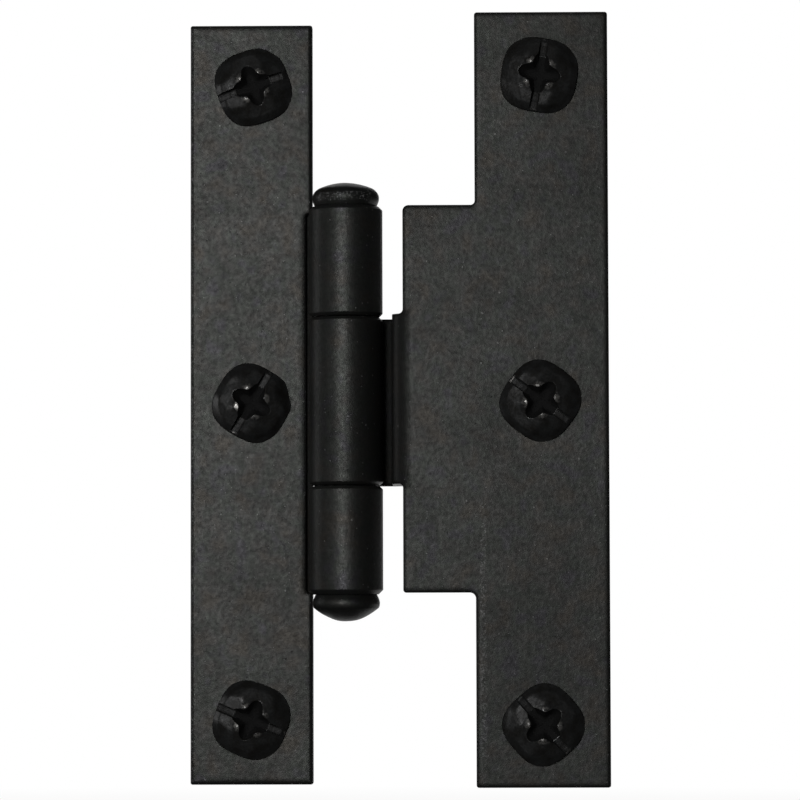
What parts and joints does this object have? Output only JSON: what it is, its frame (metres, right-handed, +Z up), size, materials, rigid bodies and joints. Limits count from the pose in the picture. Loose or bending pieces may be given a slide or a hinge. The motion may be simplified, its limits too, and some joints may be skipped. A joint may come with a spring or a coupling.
{
  "type": "offset h hinge",
  "caption": "Surface cabinet hinge with flat frame leaf, raised offset door leaf, rolled barrel, headed pin and pyramid-head screws.",
  "frame": {"origin": "centre of the frame leaf's back face, at the centre of the leaf's middle hole, where that face meets the cabinet's face frame", "axes": "+Z up along the hinge pin and the long way of the leaves, -Y towards the room, +X from the frame leaf towards the door leaf"},
  "size_m": [0.0485, 0.0277, 0.0888],
  "materials": {
    "black_coated_steel": "satin black powder coat with a fine mottled grain",
    "black_screw_steel": "black oxide under a thin oil film, a little smoother than the leaves"
  },
  "bodies": {
    "frame_side": {"frame_leaf": "black_coated_steel", "hinge_pin": "black_coated_steel", "frame_screw_top": "black_screw_steel", "frame_screw_middle": "black_screw_steel", "frame_screw_bottom": "black_screw_steel"},
    "door_side": {"door_leaf": "black_coated_steel", "door_screw_top": "black_screw_steel", "door_screw_middle": "black_screw_steel", "door_screw_bottom": "black_screw_steel"}
  },
  "joints": [
    {"name": "door_swing", "type": "hinge", "parent": "frame_side", "child": "door_side", "pos_m": [0.01112, -0.00428, 0], "axis": [0, 0, -1], "range_deg": [-80, 130]}
  ]
}
